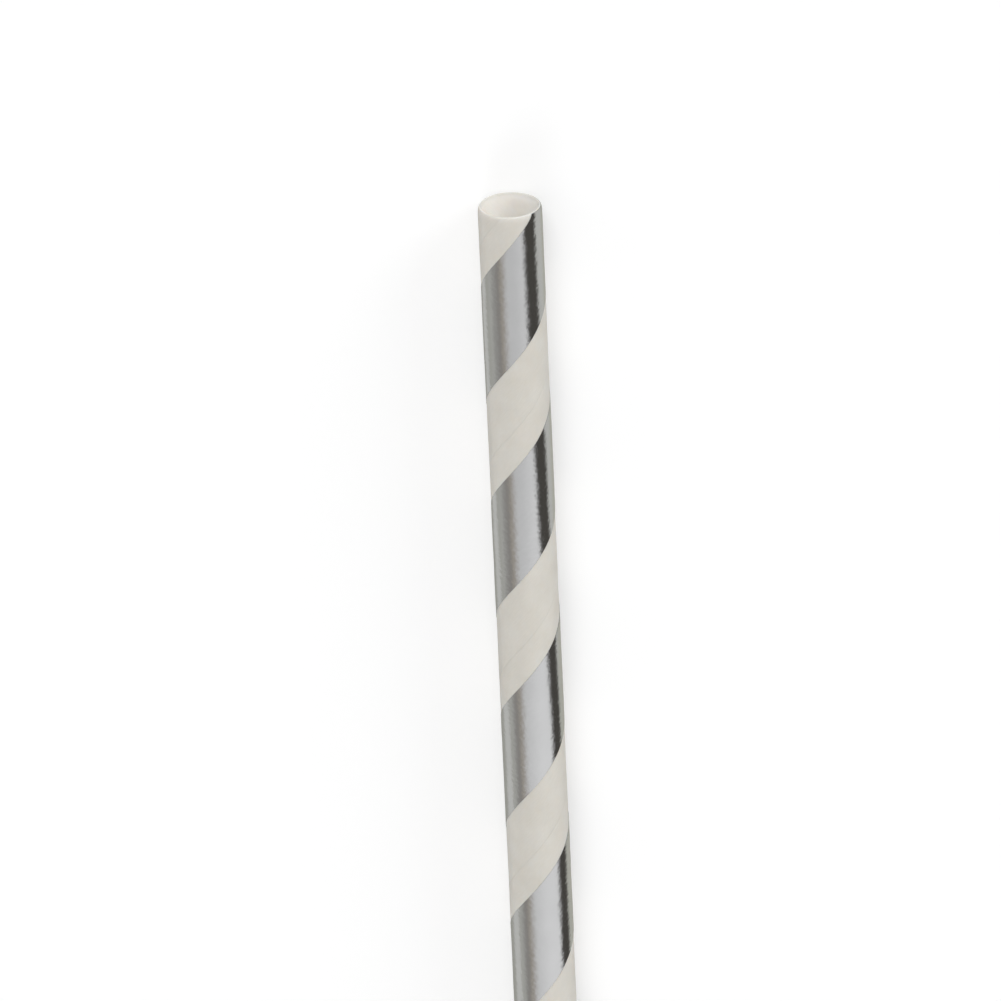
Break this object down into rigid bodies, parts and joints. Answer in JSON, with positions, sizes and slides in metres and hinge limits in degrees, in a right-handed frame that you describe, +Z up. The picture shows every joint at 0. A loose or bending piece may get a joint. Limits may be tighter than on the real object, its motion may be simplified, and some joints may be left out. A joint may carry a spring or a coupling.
{
  "type": "paper drinking straw",
  "caption": "Straight wound paper drinking straw, open at both cut ends, with a mirror-bright silver foil stripe that runs round it as a helix; it lies on its side.",
  "frame": {"origin": "under the middle of the straw, on the surface that it lies on", "axes": "+X along the straw towards its mouth end, +Y across it, +Z up"},
  "size_m": [0.197, 0.006, 0.0061],
  "materials": {
    "paper": "matte",
    "foil": "mirror-bright, finely crinkled"
  },
  "bodies": {
    "root": {"paper_tube": "paper", "foil_stripe": "foil"}
  },
  "joints": []
}
